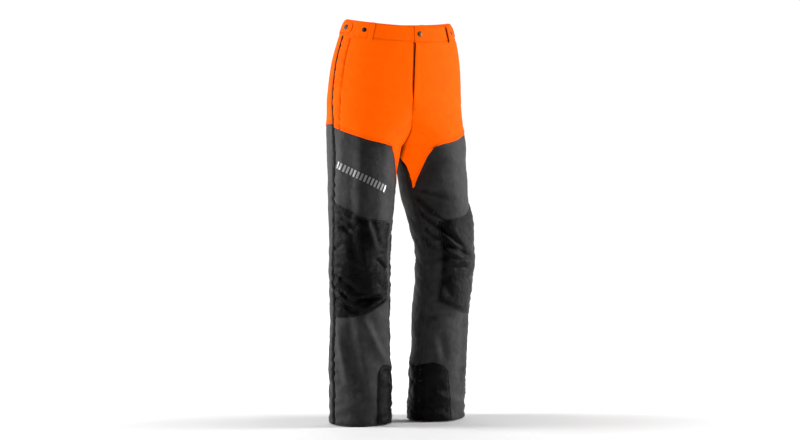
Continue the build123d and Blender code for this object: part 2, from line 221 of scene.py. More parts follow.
# side (0 both), start's angle and height, end's angle and height, half width, depth inwards
FOLDS = (
    # the long hollow down the front of the right leg, between two soft ridges
    (-1, -42, -330, -86, -700, 17, 1.6),
    (-1, -24, -330, -40, -560, 14, -1.2),
    (-1, -96, -350, -122, -560, 22, -1.0),
    # the fold that runs from the right patch's foot down towards the hem
    (-1, -60, -795, -92, -1010, 15, 3.0),
    (-1, -95, -800, -128, -905, 14, -3.0),
    (-1, -42, -830, -52, -960, 13, -2.5),
    # pulls across the right knee patch
    (-1, -32, -745, -78, -775, 9, 4.0),
    (-1, -92, -772, -132, -738, 8, -3.5),
    (-1, -40, -690, -70, -715, 8, 2.5),
    (-1, -26, -708, -58, -738, 5, 4.5),
    (-1, -24, -668, -46, -690, 5, 3.5),
    (-1, -70, -748, -118, -742, 6, 4.0),
    (-1, -28, -540, -58, -566, 6, 3.5),
    (-1, -24, -606, -44, -600, 6, 3.0),
    (-1, -112, -640, -138, -668, 6, 3.0),
    (-1, -86, -545, -108, -600, 9, -2.5),
    # pulls from the left inseam down to the patch
    (1, -160, -478, -120, -533, 7, 4.0),
    (1, -160, -514, -128, -560, 6, 3.5),
    (1, -164, -552, -130, -592, 6, 3.5),
    (1, -166, -590, -134, -618, 6, 2.5),
    (1, -148, -455, -106, -476, 8, 3.0),
    # folds in the left knee patch
    (1, -132, -560, -92, -606, 8, 3.5),
    (1, -134, -600, -84, -636, 9, 4.5),
    (1, -134, -655, -78, -648, 9, -3.0),
    (1, -120, -690, -112, -742, 16, 3.0),
    # left shin
    (1, -150, -800, -108, -795, 8, 2.5),
    (1, -132, -850, -112, -910, 14, 2.5),
    (1, -60, -800, -58, -990, 18, -2.0),
    # pulls at the top of both legs and under the seat
    (0, -118, -250, -88, -318, 13, 1.8),
    (0, 110, -380, 40, -345, 12, 4.0),
    (0, 120, -420, 50, -395, 11, 3.5),
    (0, 130, -600, 60, -625, 10, 4.5),
    (0, 140, -645, 50, -655, 9, 4.5),
    (0, 135, -690, 60, -680, 10, 4.0),
    (0, 120, -1000, 60, -965, 13, 4.0),
    (0, 110, -890, 150, -955, 12, 3.5),
)


def drape(side, angle, z):
    """The large folds, as a distance outwards."""
    lift = np.zeros(np.broadcast(angle, z).shape)
    turned = np.where(angle > 200, angle - 360, angle)
    for which, *line, width, depth in FOLDS:
        if which not in (0, side):
            continue
        off, along = line_distance(turned, z, *line)
        ends = smooth(-0.25, 0.2, along) * (1 - smooth(0.8, 1.25, along))
        bend = width * 0.5 * np.sin(along * 2.2 + line[1])
        wide = width * 0.8
        lift -= 2.0 * depth * ends * (hump(bend, wide, off) - 0.4 * hump(bend + 1.8 * wide, wide, off))
    # soft unevenness, and slack that gathers above the hems
    slack = smooth(-120, -420, z)
    lift += slack * 1.2 * waves(z + 1.3 * turned, 150, 11 + side)
    lift += slack * 0.8 * waves(z - 0.9 * turned, 78, 23 + side)
    lift += 1.2 * smooth(-960, -1050, z) * waves(z * 1.2 + turned * 0.6, 42, 31 + side)
    knee = hump(-660, 110, z) * (0.4 + 0.6 * smooth(-90, -130, turned) + 0.6 * smooth(60, 120, turned))
    foot = smooth(-880, -960, z)
    inner = smooth(130, 158, turned) * smooth(200, 188, turned) * smooth(-400, -520, z)
    lift += (0.3 * slack + 1.6 * knee + 0.8 * foot + 1.5 * inner) * crumple(side, turned, z)
    return lift


def crumple(side, angle, z):
    """Crossing creases with sharp valleys, as handled cloth has."""
    around = angle * 1.45
    total = 0.0
    rng = np.random.default_rng(300 + side)
    for _ in range(6):
        lean, phase = rng.uniform(-0.9, 0.9), rng.uniform(0, 6.3)
        length = rng.uniform(34, 78)
        bend = 9 * np.sin((around * math.cos(lean) + z * math.sin(lean)) / 31 + phase)
        across = (z * math.cos(lean) - around * math.sin(lean) + bend) * math.pi / length
        ridge = 1 - np.abs(np.sin(across + phase))
        total = total - ridge**3 * (0.5 + 0.5 * np.sin(around / 19 + phase * 3))
    return total + 0.9


# ---- the cloth surface


class Surface:
    """The outside of the whole garment as two grids of points, right and left."""

    COLUMNS = 97
    ROW = 8.0

    def __init__(self):
        self.rows = int(OUTSEAM / self.ROW) + 1
        z = -np.arange(self.rows) * self.ROW
        u = np.linspace(0, 1, self.COLUMNS)
        self.points, self.normals = {}, {}
        for side in SIDES.values():
            heights = np.repeat(z[:, None], self.COLUMNS, 1)
            start, end = front_inner(heights), back_inner(heights)
            angles = start + (end - start) * u[None, :]
            flat = self.bare(side, angles, heights)
            normal = self.grid_normals(side, flat)
            lift = drape(side, angles, heights)
            self.points[side] = flat + normal * lift[..., None]
            self.normals[side] = self.grid_normals(side, self.points[side])

    @staticmethod
    def bare(side, angle, z):
        """The undraped face."""
        cx, cy, out, inner, front, back, turn = section(z)
        a = np.radians(angle)
        c, s = np.cos(a), np.sin(a)
        x, y = np.where(c > 0, out, inner) * c, np.where(s < 0, front, back) * s
        t = np.radians(turn)
        across, along = cx + x * np.cos(t) - y * np.sin(t), cy + x * np.sin(t) + y * np.cos(t)
        tilt = RIM_SLOPE * np.clip((z - SEAT_END) / (-BAND - SEAT_END), 0, 1)
        drop = np.where(s < 0, tilt * along * (0.75 + 0.25 * np.abs(s)), 0)
        return np.stack([side * across, along, z + drop], -1)

    @staticmethod
    def grid_normals(side, points):
        around, down = np.gradient(points, axis=1), np.gradient(points, axis=0)
        return unit(np.cross(around, down) * -side)

    def at(self, side, angle, z, lift=0.0):
        """Points on the draped face, moved outwards by lift."""
        angle, z = np.broadcast_arrays(np.asarray(angle, float), np.asarray(z, float))
        start, end = front_inner(z), back_inner(z)
        angle = np.where(angle < start - 1, angle + 360, angle)
        u = np.clip((angle - start) / (end - start), 0, 1) * (self.COLUMNS - 1)
        v = np.clip(-z / self.ROW, 0, self.rows - 1)
        normal = unit(self.sample(self.normals[side], u, v))
        spot = self.sample(self.points[side], u, v) + normal * np.asarray(lift)[..., None]
        # the two halves meet on the centre plane above the crotch
        away = arc(z, np.minimum(np.abs(angle - start), np.abs(end - angle)))
        held = hump(0, 8, away) * smooth(CROTCH - 5, CROTCH + 15, z)
        spot[..., 0] += held * (self.bare(side, angle, z)[..., 0] - spot[..., 0])
        return spot

    @staticmethod
    def sample(grid, u, v):
        """Catmull-Rom interpolation."""

        def weights(f):
            return (
                -0.5 * f + f**2 - 0.5 * f**3,
                1 - 2.5 * f**2 + 1.5 * f**3,
                0.5 * f + 2 * f**2 - 1.5 * f**3,
                -0.5 * f**2 + 0.5 * f**3,
            )

        rows, columns = grid.shape[:2]
        iu = np.minimum(u.astype(int), columns - 2)
        iv = np.minimum(v.astype(int), rows - 2)
        wu, wv = weights(u - iu), weights(v - iv)
        total = 0.0
        for j in range(4):
            row = np.clip(iv + j - 1, 0, rows - 1)
            for i in range(4):
                column = np.clip(iu + i - 1, 0, columns - 1)
                total = total + (wv[j] * wu[i])[..., None] * grid[row, column]
        return total


# ---- materials


def darker(colour, share):
    return tuple(channel * share for channel in colour)


class Shader:
    """A small helper that makes and links shader nodes."""

    def __init__(self, name, kind="materials", last="Principled BSDF", space="Object"):
        self.owner = getattr(bpy.data, kind).new(name)
        self.owner.use_nodes = True
        self.nodes, self.links = self.owner.node_tree.nodes, self.owner.node_tree.links
        self.skin = self.nodes[last]
        self.here = self.nodes.new("ShaderNodeTexCoord").outputs[space]

    def feed(self, node, inputs):
        """Links or sets every input that is given."""
        for key, value in inputs.items():
            if isinstance(value, bpy.types.NodeSocket):
                self.links.new(value, node.inputs[key])
            elif value is not None:
                node.inputs[key].default_value = value

    def add(self, kind, inputs, **settings):
        node = self.nodes.new(f"ShaderNode{kind}")
        for key, value in settings.items():
            setattr(node, key, value)
        self.feed(node, inputs)
        return node

    def math(self, operation, a, b=None, c=None):
        return self.add("Math", {0: a, 1: b, 2: c}, operation=operation).outputs[0]

    def vector(self, operation, a, b):
        return self.add("VectorMath", {0: a, 1: b}, operation=operation).outputs

    def ramp(self, factor, *stops):
        node = self.add("ValToRGB", {"Fac": factor})
        for element, (position, colour) in zip(node.color_ramp.elements, stops):
            element.position, element.color = position, (*colour, 1.0)
        return node.outputs[0]

    def noise(self, scale, detail, rough=0.55):
        inputs = {"Scale": scale, "Detail": detail, "Roughness": rough, "Vector": self.here}
        return self.add("TexNoise", inputs).outputs[0]

    def bump(self, height, strength, distance, after=None):
        inputs = {"Height": height, "Strength": strength, "Distance": distance, "Normal": after}
        return self.add("Bump", inputs).outputs[0]

    def weave(self, thread_width):
        """Yarns over and under each other, in the cloth's own measure."""
        cloth = self.add("UVMap", {}, uv_map="cloth").outputs[0]
        axes = self.add("SeparateXYZ", {0: cloth}).outputs
        across, down = (
            self.math("SINE", self.math("MULTIPLY", axes[n], math.pi / thread_width)) for n in (0, 1)
        )
        return self.math("MULTIPLY", across, down)

    def painted_fold_shade(self, colour, reach, dark):
        """A colour with painted shade: darker where the cloth folds in on itself, as ambient occlusion
        finds it.
        """
        open_air = self.add("AmbientOcclusion", {"Distance": reach}).outputs["AO"]
        shade = self.ramp(open_air, (0.25, (dark, dark, dark)), (0.9, (1.0, 1.0, 1.0)))
        return self.vector("MULTIPLY", colour, shade)[0]

    def finish(self, colour, roughness, normal=None, **skin):
        inputs = {"Base Color": colour, "Roughness": roughness, "Normal": normal}
        self.feed(self.skin, inputs)
        self.feed(self.skin, {key.replace("_", " "): value for key, value in skin.items()})
        return self.owner


def woven(name, dark, light, thread_width=0.0007, rough=0.78, crease=0.5, sheen=0.25, tint=None,
          painted_glow=0.0, shine=0.15):
    """Woven cloth: yarns, faint mottling, creases too fine to model, and painted shade where it folds
    in; a glow, when asked for, is painted light.
    """
    s = Shader(name)
    weave, mottle = s.weave(thread_width), s.noise(38.0, 4.0)
    fine = s.math("MULTIPLY_ADD", s.noise(900.0, 2.0), 0.22, mottle)
    colour = s.ramp(s.math("MULTIPLY_ADD", weave, 0.07, fine), (0.34, dark), (0.86, light))
    creased = s.bump(s.noise(70.0, 5.0, 0.6), crease, 0.004)
    return s.finish(
        s.painted_fold_shade(colour, 0.03, 0.12), s.math("MULTIPLY_ADD", mottle, 0.16, rough - 0.08),
        s.bump(weave, 0.35, 0.0002, creased), Sheen_Weight=sheen, Sheen_Roughness=0.45,
        # the emission is painted light: the cloth glows in its light colour, dimmed where it folds in,
        # so it stays bright in shade
        Sheen_Tint=(*(tint or light), 1.0), Specular_IOR_Level=shine, Emission_Strength=painted_glow,
        Emission_Color=s.painted_fold_shade(light, 0.016, 0.0) if painted_glow else None,
    )


def coated(name, dark, light):
    """Coated nylon: a fine grain of yarns under a skin that shines a little, with painted shade where
    it folds in.
    """
    s = Shader(name)
    weave, mottle = s.weave(0.0012), s.noise(45.0, 4.0)
    colour = s.ramp(s.math("MULTIPLY_ADD", weave, 0.08, mottle), (0.3, dark), (0.8, light))
    creased = s.bump(s.noise(34.0, 6.0, 0.62), 0.7, 0.008)
    return s.finish(
        s.painted_fold_shade(colour, 0.03, 0.1), s.math("MULTIPLY_ADD", mottle, 0.2, 0.28),
        s.bump(weave, 0.4, 0.0004, creased), Specular_IOR_Level=0.09,
    )


def thread(name, colour):
    """Twisted sewing thread."""
    s = Shader(name)
    inputs = {"Vector": s.here, "Scale": 900.0, "Distortion": 1.0}
    twist = s.add("TexWave", inputs).outputs[1]
    tone = s.ramp(twist, (0.2, darker(colour, 0.7)), (0.9, colour))
    return s.finish(tone, 0.7, s.bump(twist, 0.3, 0.0002), Specular_IOR_Level=0.1)


def metal(name, dark, light, rough, metallic):
    """Lacquered or antiqued metal, lighter where it is rubbed."""
    s = Shader(name)
    patches = s.noise(420.0, 5.0, 0.65)
    edge = s.add("NewGeometry", {}).outputs["Pointiness"]
    wear = s.math("MULTIPLY", patches, 0.35)
    rubbed = s.math("MULTIPLY_ADD", s.math("SUBTRACT", edge, 0.5), 4.0, wear)
    colour = s.ramp(rubbed, (0.12, dark), (0.42, light))
    roughness = s.math("MULTIPLY_ADD", patches, 0.3, rough - 0.12)
    return s.finish(colour, roughness, s.bump(patches, 0.12, 0.0003), Metallic=metallic)


def fleece(name, colour):
    """Loose fibres."""
    s = Shader(name)
    strands = s.noise(260.0, 8.0, 0.75)
    tone = s.ramp(strands, (0.3, darker(colour, 0.72)), (0.7, colour))
    return s.finish(tone, 0.95, s.bump(strands, 0.8, 0.002), Sheen_Weight=0.6)


def plastic(name, colour):
    s = Shader(name)
    grain = s.noise(1400.0, 3.0)
    tone = s.ramp(grain, (0.3, darker(colour, 0.8)), (0.8, colour))
    return s.finish(tone, s.math("MULTIPLY_ADD", grain, 0.15, 0.4), s.bump(grain, 0.1, 0.0002))


def reflective(name):
    """Silver reflective print: fine glass beads in a grid of facets."""
    s = Shader(name)
    beads = s.add("TexVoronoi", {"Vector": s.here, "Scale": 1500.0}).outputs[0]
    tone = s.ramp(beads, (0.1, (0.46, 0.46, 0.47)), (0.7, (0.30, 0.30, 0.31)))
    return s.finish(tone, 0.38, s.bump(beads, 0.2, 0.0002), Metallic=0.25)


# the cloths, keyed by slot name
CLOTHS = {
    # the orange gets a painted glow, so it stays bright where the lamps leave it in shade
    "orange_cloth": woven(
        "orange_cloth", (0.42, 0.030, 0.0), (0.52, 0.058, 0.0), rough=0.72, crease=0.4,
        sheen=0.04, tint=(1.0, 0.35, 0.1), painted_glow=1.65, shine=0.03,
    ),
    "grey_cloth": woven(
        "grey_cloth", (0.025, 0.025, 0.0256), (0.050, 0.050, 0.0507), 0.0008, rough=0.6,
        crease=0.6, sheen=0.0, tint=(0.6, 0.6, 0.65), shine=0.12,
    ),
    "patch_cloth": coated("patch_cloth", (0.0012, 0.0012, 0.0013), (0.003, 0.003, 0.0033)),
    "lining": woven("lining_cloth", (0.03, 0.03, 0.033), (0.06, 0.06, 0.065), 0.0009, rough=0.9),
}
TAPE = woven("zip_tape_cloth", (0.05, 0.012, 0.006), (0.09, 0.022, 0.01), 0.0005, rough=0.85)
THREADS = {
    "orange": thread("orange_thread", (0.62, 0.075, 0.006)),
    "grey": thread("grey_thread", (0.10, 0.10, 0.105)),
    "black": thread("black_thread", (0.004, 0.004, 0.0042)),
}
WADDING = fleece("saw_wadding", (0.80, 0.78, 0.70))
LACQUER = metal("black_lacquer", (0.003, 0.0025, 0.0025), (0.012, 0.010, 0.009), 0.6, 0.1)
BRASS = metal("antique_brass", (0.07, 0.042, 0.018), (0.30, 0.20, 0.09), 0.42, 0.9)
COIL = plastic("zip_coil_plastic", (0.06, 0.022, 0.014))
PRINT = reflective("reflective_print")

# ---- placement

HIP_BLEND = {
    side: ((sign * 0.02, 0, -0.33), (sign * 0.14, 0, -0.45)) for side, sign in SIDES.items()
}


def steps(points, axis, **more):
    """The distances from each point of a grid to the next."""
    return np.linalg.norm(np.diff(points, axis=axis, **more), axis=-1)


def place(made, zone, nodes=()):
    """Attaches a piece to its body, or bakes a hip or knee piece's placement into its mesh, and hides
    the CAD nodes that it stands for.
    """
    part, _, leg = zone.partition(" ")
    if part == "hip":
        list(HIP_BLEND[leg])
        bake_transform(made)
    elif part == "knee":
        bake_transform(made)
    else:
        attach(made, part)
    if nodes:
        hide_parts(*nodes)


def declare(made, outer):
    """Measures a piece's width, length and area as it was cut, and keeps none of them."""
    wide = steps(outer, 1).sum(1).max() * MM
    long = steps(outer, 0).sum(0).max() * MM
    a, b = outer[1:, 1:] - outer[:-1, :-1], outer[1:, :-1] - outer[:-1, 1:]
    area = 0.5 * np.linalg.norm(np.cross(a, b), axis=-1).sum() * MM**2
    area = float(np.clip(area, LEAST_FILL * wide * long, wide * long))


# ---- mesh building


class Builder:
    """Collects closed pieces of mesh, in millimetres, into one object."""

    def __init__(self):
        self.vertices, self.faces, self.uvs, self.count = [], [], [], 0

    def add(self, vertices, faces, uvs=None):
        vertices = np.asarray(vertices, float).reshape(-1, 3)
        self.vertices.append(vertices)
        self.uvs.append(np.zeros((len(vertices), 2)) if uvs is None else uvs)
        self.faces += [tuple(self.count + n for n in face) for face in faces]
        self.count += len(vertices)

    def sheet(self, outer, inner):
        """A closed sheet between two grids of points of the same size."""
        rows, columns = outer.shape[:2]
        count = rows * columns
        index = np.arange(count).reshape(rows, columns)
        corners = (index[:-1, :-1], index[1:, :-1], index[1:, 1:], index[:-1, 1:])
        face = np.stack(corners, -1).reshape(-1, 4)
        edge = np.concatenate([index[:, 0], index[-1, 1:], index[-2::-1, -1], index[0, -2:0:-1]])
        after = np.roll(edge, -1)
        rim = np.stack([after, edge, edge + count, after + count], -1)
        faces = np.concatenate([face, face[:, ::-1] + count, rim]).tolist()
        across = steps(outer, 1, prepend=outer[:, :1]).cumsum(1)
        down = steps(outer, 0, prepend=outer[:1]).cumsum(0)
        uvs = np.stack([across, down], -1).reshape(-1, 2)
        points = np.concatenate([outer.reshape(-1, 3), inner.reshape(-1, 3)])
        self.add(points, faces, np.concatenate([uvs, uvs]))

    def skin(self, rings):
        """A closed skin over rings of points that follow each other."""
        count, sides = rings.shape[:2]
        last = (count - 1) * sides
        faces = [tuple(range(sides - 1, -1, -1)), tuple(range(last, last + sides))]
        for r in range(count - 1):
            for c in range(sides):
                a, b = r * sides + c, r * sides + (c + 1) % sides
                faces.append((a, b, b + sides, a + sides))
        self.add(rings, faces)

    def tube(self, points, radii, sides, flat, up):
        """A closed tube along points, with a radius at each; flat squashes it along up."""
        points, radii = np.asarray(points, float), np.asarray(radii, float)
        along = unit(np.gradient(points, axis=0))
        side = unit(np.cross(along, np.broadcast_to(np.asarray(up, float), along.shape)))
        over = np.cross(side, along) * flat
        turn = np.arange(sides)[None, :, None] * 2 * math.pi / sides
        ring = side[:, None] * np.cos(turn) + over[:, None] * np.sin(turn)
        self.skin(points[:, None] + ring * radii[:, None, None])

    def turned(self, at, axis, profile):
        """A turned shape: pairs of radius and height, from the axis at one end to the other."""
        across = unit(np.cross(axis, (0.3, 0.2, 0.9)))
        turn = np.arange(TURNED_SIDES)[:, None] * 2 * math.pi / TURNED_SIDES
        ring = across * np.cos(turn) + np.cross(axis, across) * np.sin(turn)
        self.skin(np.array([at + axis * h + ring * max(r, 0.01) for r, h in profile]))

    def press(self, profile, side, angle, z, rise):
        """Sets a turned shape on the face, standing off it by the rise."""
        at, normal = post(side, angle, z)
        self.turned(at + normal * rise, normal, profile)

    def make(self, name, material, sharp=50):
        mesh = bpy.data.meshes.new(name)
        mesh.from_pydata((np.concatenate(self.vertices) * MM).tolist(), [], self.faces)
        layer = mesh.uv_layers.new(name="cloth")
        loops = np.empty(len(mesh.loops), int)
        mesh.loops.foreach_get("vertex_index", loops)
        layer.data.foreach_set("uv", (np.concatenate(self.uvs)[loops] * MM).ravel())
        shape = bmesh.new()
        shape.from_mesh(mesh)
        bmesh.ops.recalc_face_normals(shape, faces=shape.faces)
        shape.to_mesh(mesh)
        shape.free()
        mesh.materials.append(material)
        mesh.shade_smooth()
        mesh.set_sharp_from_angle(angle=math.radians(sharp))
        made = bpy.data.objects.new(name, mesh)
        bpy.context.scene.collection.objects.link(made)
        return made

    def piece(self, name, material, zone, nodes=(), slot=None, sharp=50):
        """Makes the object and places it."""
        made = self.make(name, material, sharp)
        place(made, zone, nodes)
        return made


def post(side, angle, z):
    """A point of the undraped face and its outward normal, in millimetres."""

    def at(a, h):
        return Surface.bare(side, np.array(a, float), np.array(h, float))

    around = at(angle + 1, z) - at(angle - 1, z)
    upward = at(angle, z + 2) - at(angle, z - 2)
    return at(angle, z), unit(np.cross(around, upward) * side)


SURFACE = Surface()

# ---- seams and puckers


def flowing(*points):
    """A smooth curve through a few points, as a function."""
    x, y = (np.array(column, float) for column in zip(*points))
    slopes = np.gradient(y, x)

    def value(at):
        at = np.clip(at, x[0], x[-1])
        k = np.clip(np.searchsorted(x, at) - 1, 0, len(x) - 2)
        span = x[k + 1] - x[k]
        return hermite((at - x[k]) / span, y[k], y[k + 1], slopes[k] * span, slopes[k + 1] * span)

    return value


def seams(side, angle, z):
    """Seam dips and the puckers that the stitching draws in beside them."""
    angle = np.where(angle < front_inner(z) - 1, angle + 360, angle)
    away = arc(z, angle - side_seam(z))
    groove = 7.0 + 1.5 * smooth(-150, -420, z)
    lift = -groove * hump(0, 4.6, away) * smooth(-20, -60, z)
    pull = waves(z, 17, 5 + side) + 0.6 * waves(z, 8, 9 + side)
    strength = (0.9 + 0.8 * smooth(-250, -520, z)) * smooth(-30, -60, z)
    lift += strength * 1.3 * pull * np.exp(-np.abs(away) / 16.0) * smooth(0, 4, np.abs(away))
    for edge in (front_inner(z), back_inner(z)):
        away = np.abs(arc(z, angle - edge))
        leg = smooth(CROTCH + 10, CROTCH - 50, z)
        lift += smooth(-BAND, -80, z) * (
            -(1.6 - 0.9 * leg) * hump(0, 2.5, away)
            - 2.6 * leg * hump(8, 3.5, away)
            + 0.9 * leg * waves(z, 15, 41 + side) * np.exp(-away / 12.0)
        )
    hem = -OUTSEAM + HEM
    lift += 0.7 * smooth(hem - 2, hem - 5, z) - 0.9 * hump(hem, 2.0, z)
    lift += 0.35 * smooth(hem + 20, hem, z) * waves(angle, 7, 61 + side)
    return lift


# ---- cutting the cloth


def columns(start, end, fine, coarse):
    """Shares from 0 to 1 across a piece, closer together near both ends."""
    length = abs(math.radians(end - start)) * LEG_RADIUS
    places, x = [0.0], 0.0
    while x < length:
        x += fine + (coarse - fine) * min(min(x, length - x) / FINE_REACH, 1.0)
        places.append(x)
    return np.array(places) / places[-1]


def level(value):
    """The same value everywhere, as a function."""
    return lambda where: np.full(np.shape(where), float(value))


def angle_at(left, right, z, share):
    """The angle at a share of the way between two edges."""
    return left(z) + (right(z) - left(z)) * share


class Cut:
    """A piece of cloth between two edges (angle at a height) and two ends (height at a share).

    An edge or an end is a function, or a number where it stays the same.
    """

    def __init__(self, side, left, right, top, bottom, row=5.0, fine=1.6, coarse=5.0, sewn=True):
        left, right, top, bottom = (
            edge if callable(edge) else level(edge) for edge in (left, right, top, bottom)
        )
        middle = 0.5 * (float(np.mean(top(0.5))) + float(np.mean(bottom(0.5))))
        first, last = float(left(np.array(middle))), float(right(np.array(middle)))
        share = columns(first, last, fine, coarse)
        # more columns where an end drops steeply
        for _ in range(4):
            steep = np.maximum(np.abs(np.diff(top(share))), np.abs(np.diff(bottom(share)))) > STEEP
            share = np.sort(np.concatenate([share, (0.5 * (share[1:] + share[:-1]))[steep]]))
        high, low = top(share), bottom(share)
        rows = max(int(np.max(high - low) / row) + 1, 4)
        self.side, self.share, self.down = side, share, np.linspace(0, 1, rows)[:, None]
        self.z = high[None] + (low - high)[None] * self.down
        self.angle = angle_at(left, right, self.z, share[None])
        self.sewn = seams(side, self.angle, self.z) if sewn else 0.0

    def points(self, lift):
        return SURFACE.at(self.side, self.angle, self.z, lift + self.sewn)

    def edge(self):
        """Millimetres from each point to the nearest of the four edges."""
        wide = arc(self.z, np.abs(self.angle[:, -1:] - self.angle[:, :1]))
        across = np.minimum(self.share, 1 - self.share)[None] * wide
        tall = (self.z[:1] - self.z[-1:]) * np.minimum(self.down, 1 - self.down)
        return np.minimum(across, tall)

    def into(self, builder, lift, thick):
        outer = self.points(lift)
        builder.sheet(outer, self.points(lift - thick))
        return outer


def panel(name, cut, zone, slot, lift=0.0, thick=1.0, nodes=None):
    """One sewn panel of cloth as an object.

    It stands for the CAD node of its own name, less "_cloth", unless nodes says otherwise.
    """
    builder, nodes = Builder(), nodes or (name.replace("_cloth", ""),)
    outer = cut.into(builder, lift, thick)
    declare(builder.piece(name, CLOTHS[slot], zone, nodes, slot), outer)


# ---- stitches

STITCHES = {}


def run(start, end, count=200):
    return np.linspace(start, end, count)


def stitch(kind, zone, side, angle, z, lift=0.2, pitch=3.6, radius=0.28, sewn=True):
    """A line of stitches along a path of angles and heights."""
    angle, z = np.broadcast_arrays(np.asarray(angle, float), np.asarray(z, float))
    more = seams(side, angle, z) if sewn else 0.0
    path = SURFACE.at(side, angle, z, lift + more)
    above = SURFACE.at(side, angle, z, lift + more + 1.0) - path
    along = np.concatenate([[0], steps(path, 0).cumsum()])
    count = int(along[-1] / pitch)

    def between(places, values):
        return np.stack([np.interp(places, along, values[:, n]) for n in range(3)], 1)

    for k in range(count):
        places = (k + np.array([0.08, 0.25, 0.5, 0.75, 0.92])) * along[-1] / count
        up = between(places, above)
        target = zone
        if zone.startswith("leg"):
            height = np.interp(places[2], along, z)
            target = zone.replace("leg", "hip" if height > LEG_SPLIT else "knee")
        rise = np.array([-0.25, 0.12, 0.2, 0.12, -0.25])[:, None]
        sizes = radius * np.array([0.45, 0.95, 1, 0.95, 0.45])
        builder = STITCHES.setdefault((kind, target), Builder())
        builder.tube(between(places, path) + up * rise, sizes, 5, 0.75, up)


def bar_tack(kind, zone, side, angle, z, width, lift):
    """A short dense bar of stitches."""
    half = np.degrees(width / 2 / float(radius_at(np.array(z))))
    count = int(width / 0.7)
    for k in range(count):
        place_at = angle + ((k + 0.5) / count * 2 - 1) * half * np.ones(2)
        stitch(kind, zone, side, place_at, np.array([z - 1.1, z + 1.1]), lift, 2.2, 0.3)


# ---- leg outlines

# where orange meets grey on the front, then the patches' outlines: angle, height
YOKE_EDGE = flowing((-163, -450), (-156, -436), (-147, -417), (-130, -379), (-120, -358),
                    (-107, -340), (-97, -333.5), (-85, -329), (-68, -322.5), (-50, -312),
                    (-30, -300), (0, -279))
PATCH_TOP = flowing((-145, -553), (-138, -545), (-122, -537), (-100, -533), (-81, -528),
                    (-49, -506), (-19, -487))
PATCH_BOTTOM = flowing((-145, -748), (-138, -753), (-114, -769), (-89, -783), (-67, -790),
                       (-34, -792), (-15, -790))
PATCH_EDGE = {-1: -142.0, 1: -134.0}
ANKLE_TOP = flowing((-217, -905), (-197, -924), (-180, -932), (-163, -928), (-146, -923),
                    (-134, -921), (-120, -928), (-100, -938))
ANKLE_BACK = -213.0
# the ankle patch's front edge: height, angle
ANKLE_FRONT = {
    -1: flowing((-1085, -114), (-1016, -116), (-950, -118), (-900, -119)),
    1: flowing((-1085, -95), (-1016, -99), (-950, -104), (-900, -106)),
}


def solve(edge, left, right, share, start=-320.0):
    """The height of an outline given by angle, at a share of the way between two edges."""
    z = np.full(np.shape(share), start)
    for _ in range(60):
        z = 0.6 * z + 0.4 * edge(angle_at(left, right, z, share))
    return z


def beside(x):
    """The edge that runs down the front at a distance from the middle."""
    return lambda z: -centre(z, x)


def front_start(z):
    return side_seam(z) - SEAM_GAP


def back_start(z):
    return side_seam(z) + SEAM_GAP


def yoke_height(share):
    return solve(YOKE_EDGE, front_start, front_inner, share)


def yoke_hem(share):
    """The orange's own lower edge, lapped over the grey."""
    return solve(lambda angle: YOKE_EDGE(angle - 1.1) - 1.2, front_start, front_inner, share)


def back_yoke_height(share):
    return BACK_STRIP - 50 * smooth(0.1, 1.0, share)


def yokes(name, side):
    """The orange seat, front and back, from the waistband to the grey."""
    fly, zone = LEFT_EDGE if side > 0 else RIGHT_EDGE, f"hip {name}"
    sew = partial(stitch, "orange", zone, side)

    def front_end(z):
        closed = smooth(FLY_END + 20, FLY_END + 6, z)
        middle = -centre(z, fly + (RIGHT_EDGE - fly) * closed)
        return np.where(z < FLY_END + 5, front_inner(z), middle)

    def seat(part, cut, lift):
        nodes = (f"upper_{part}_panel_{name}", f"hip_{part}_panel_{name}")
        panel(f"{part}_yoke_{name}", cut, zone, "orange_cloth", lift, nodes=nodes)

    cut = Cut(side, front_start, front_end, BAND_SEWN, yoke_hem)
    pocket = smooth(-21.0, -22.2, cut.angle) * (1 - smooth(-218, -226, cut.z))
    ruck = 2.2 * waves(cut.z + 0.8 * cut.angle, 19, 51) * hump(0, 16, arc(cut.z, cut.angle + 13))
    lift = 0.2 + 1.0 * hump(0, 7, cut.z - cut.z[-1:]) + 1.8 * pocket
    lift = lift - 4.6 * hump(0, 3.0, arc(cut.z, cut.angle + 20.5))
    lift = lift + ruck * smooth(-40, -60, cut.z) * smooth(-240, -210, cut.z)
    lift = lift * (1 - 0.9 * hump(-BAND, 3, cut.z))
    if side < 0:
        turned_in = smooth(9, 1, arc(cut.z, cut.angle - cut.angle[:, -1:]))
        lift = lift - 6.0 * turned_in * smooth(FLY_END + 5, FLY_END + 90, cut.z)
    seat("front", cut, lift)
    cut = Cut(side, back_start, back_inner, BAND_SEWN, lambda s: back_yoke_height(s) - 1.6)
    seat("back", cut, 0.2 + 1.0 * hump(0, 7, cut.z - cut.z[-1:]))
    share = run(0.01, 0.99, 240)
    for above in YOKE_ROWS:
        for edge, start, end in (
            (yoke_height, front_start, front_end),
            (back_yoke_height, back_start, back_inner),
        ):
            z = edge(share) + above
            sew(angle_at(start, end, z, share), z, 1.35)
    for away in (-2.2, -8.0):
        sew(math.degrees(away / 100.0) + POCKET_EDGE, run(-48, -216, 120), 1.25)
    for z in (-52.0, -218.0):
        bar_tack("orange", zone, side, POCKET_EDGE + 0.5, z, 9.0, 1.3)
    # the seat seam's topstitching
    z = run(-52, -318)
    sew(back_inner(z) - 3.2, z, 0.35)


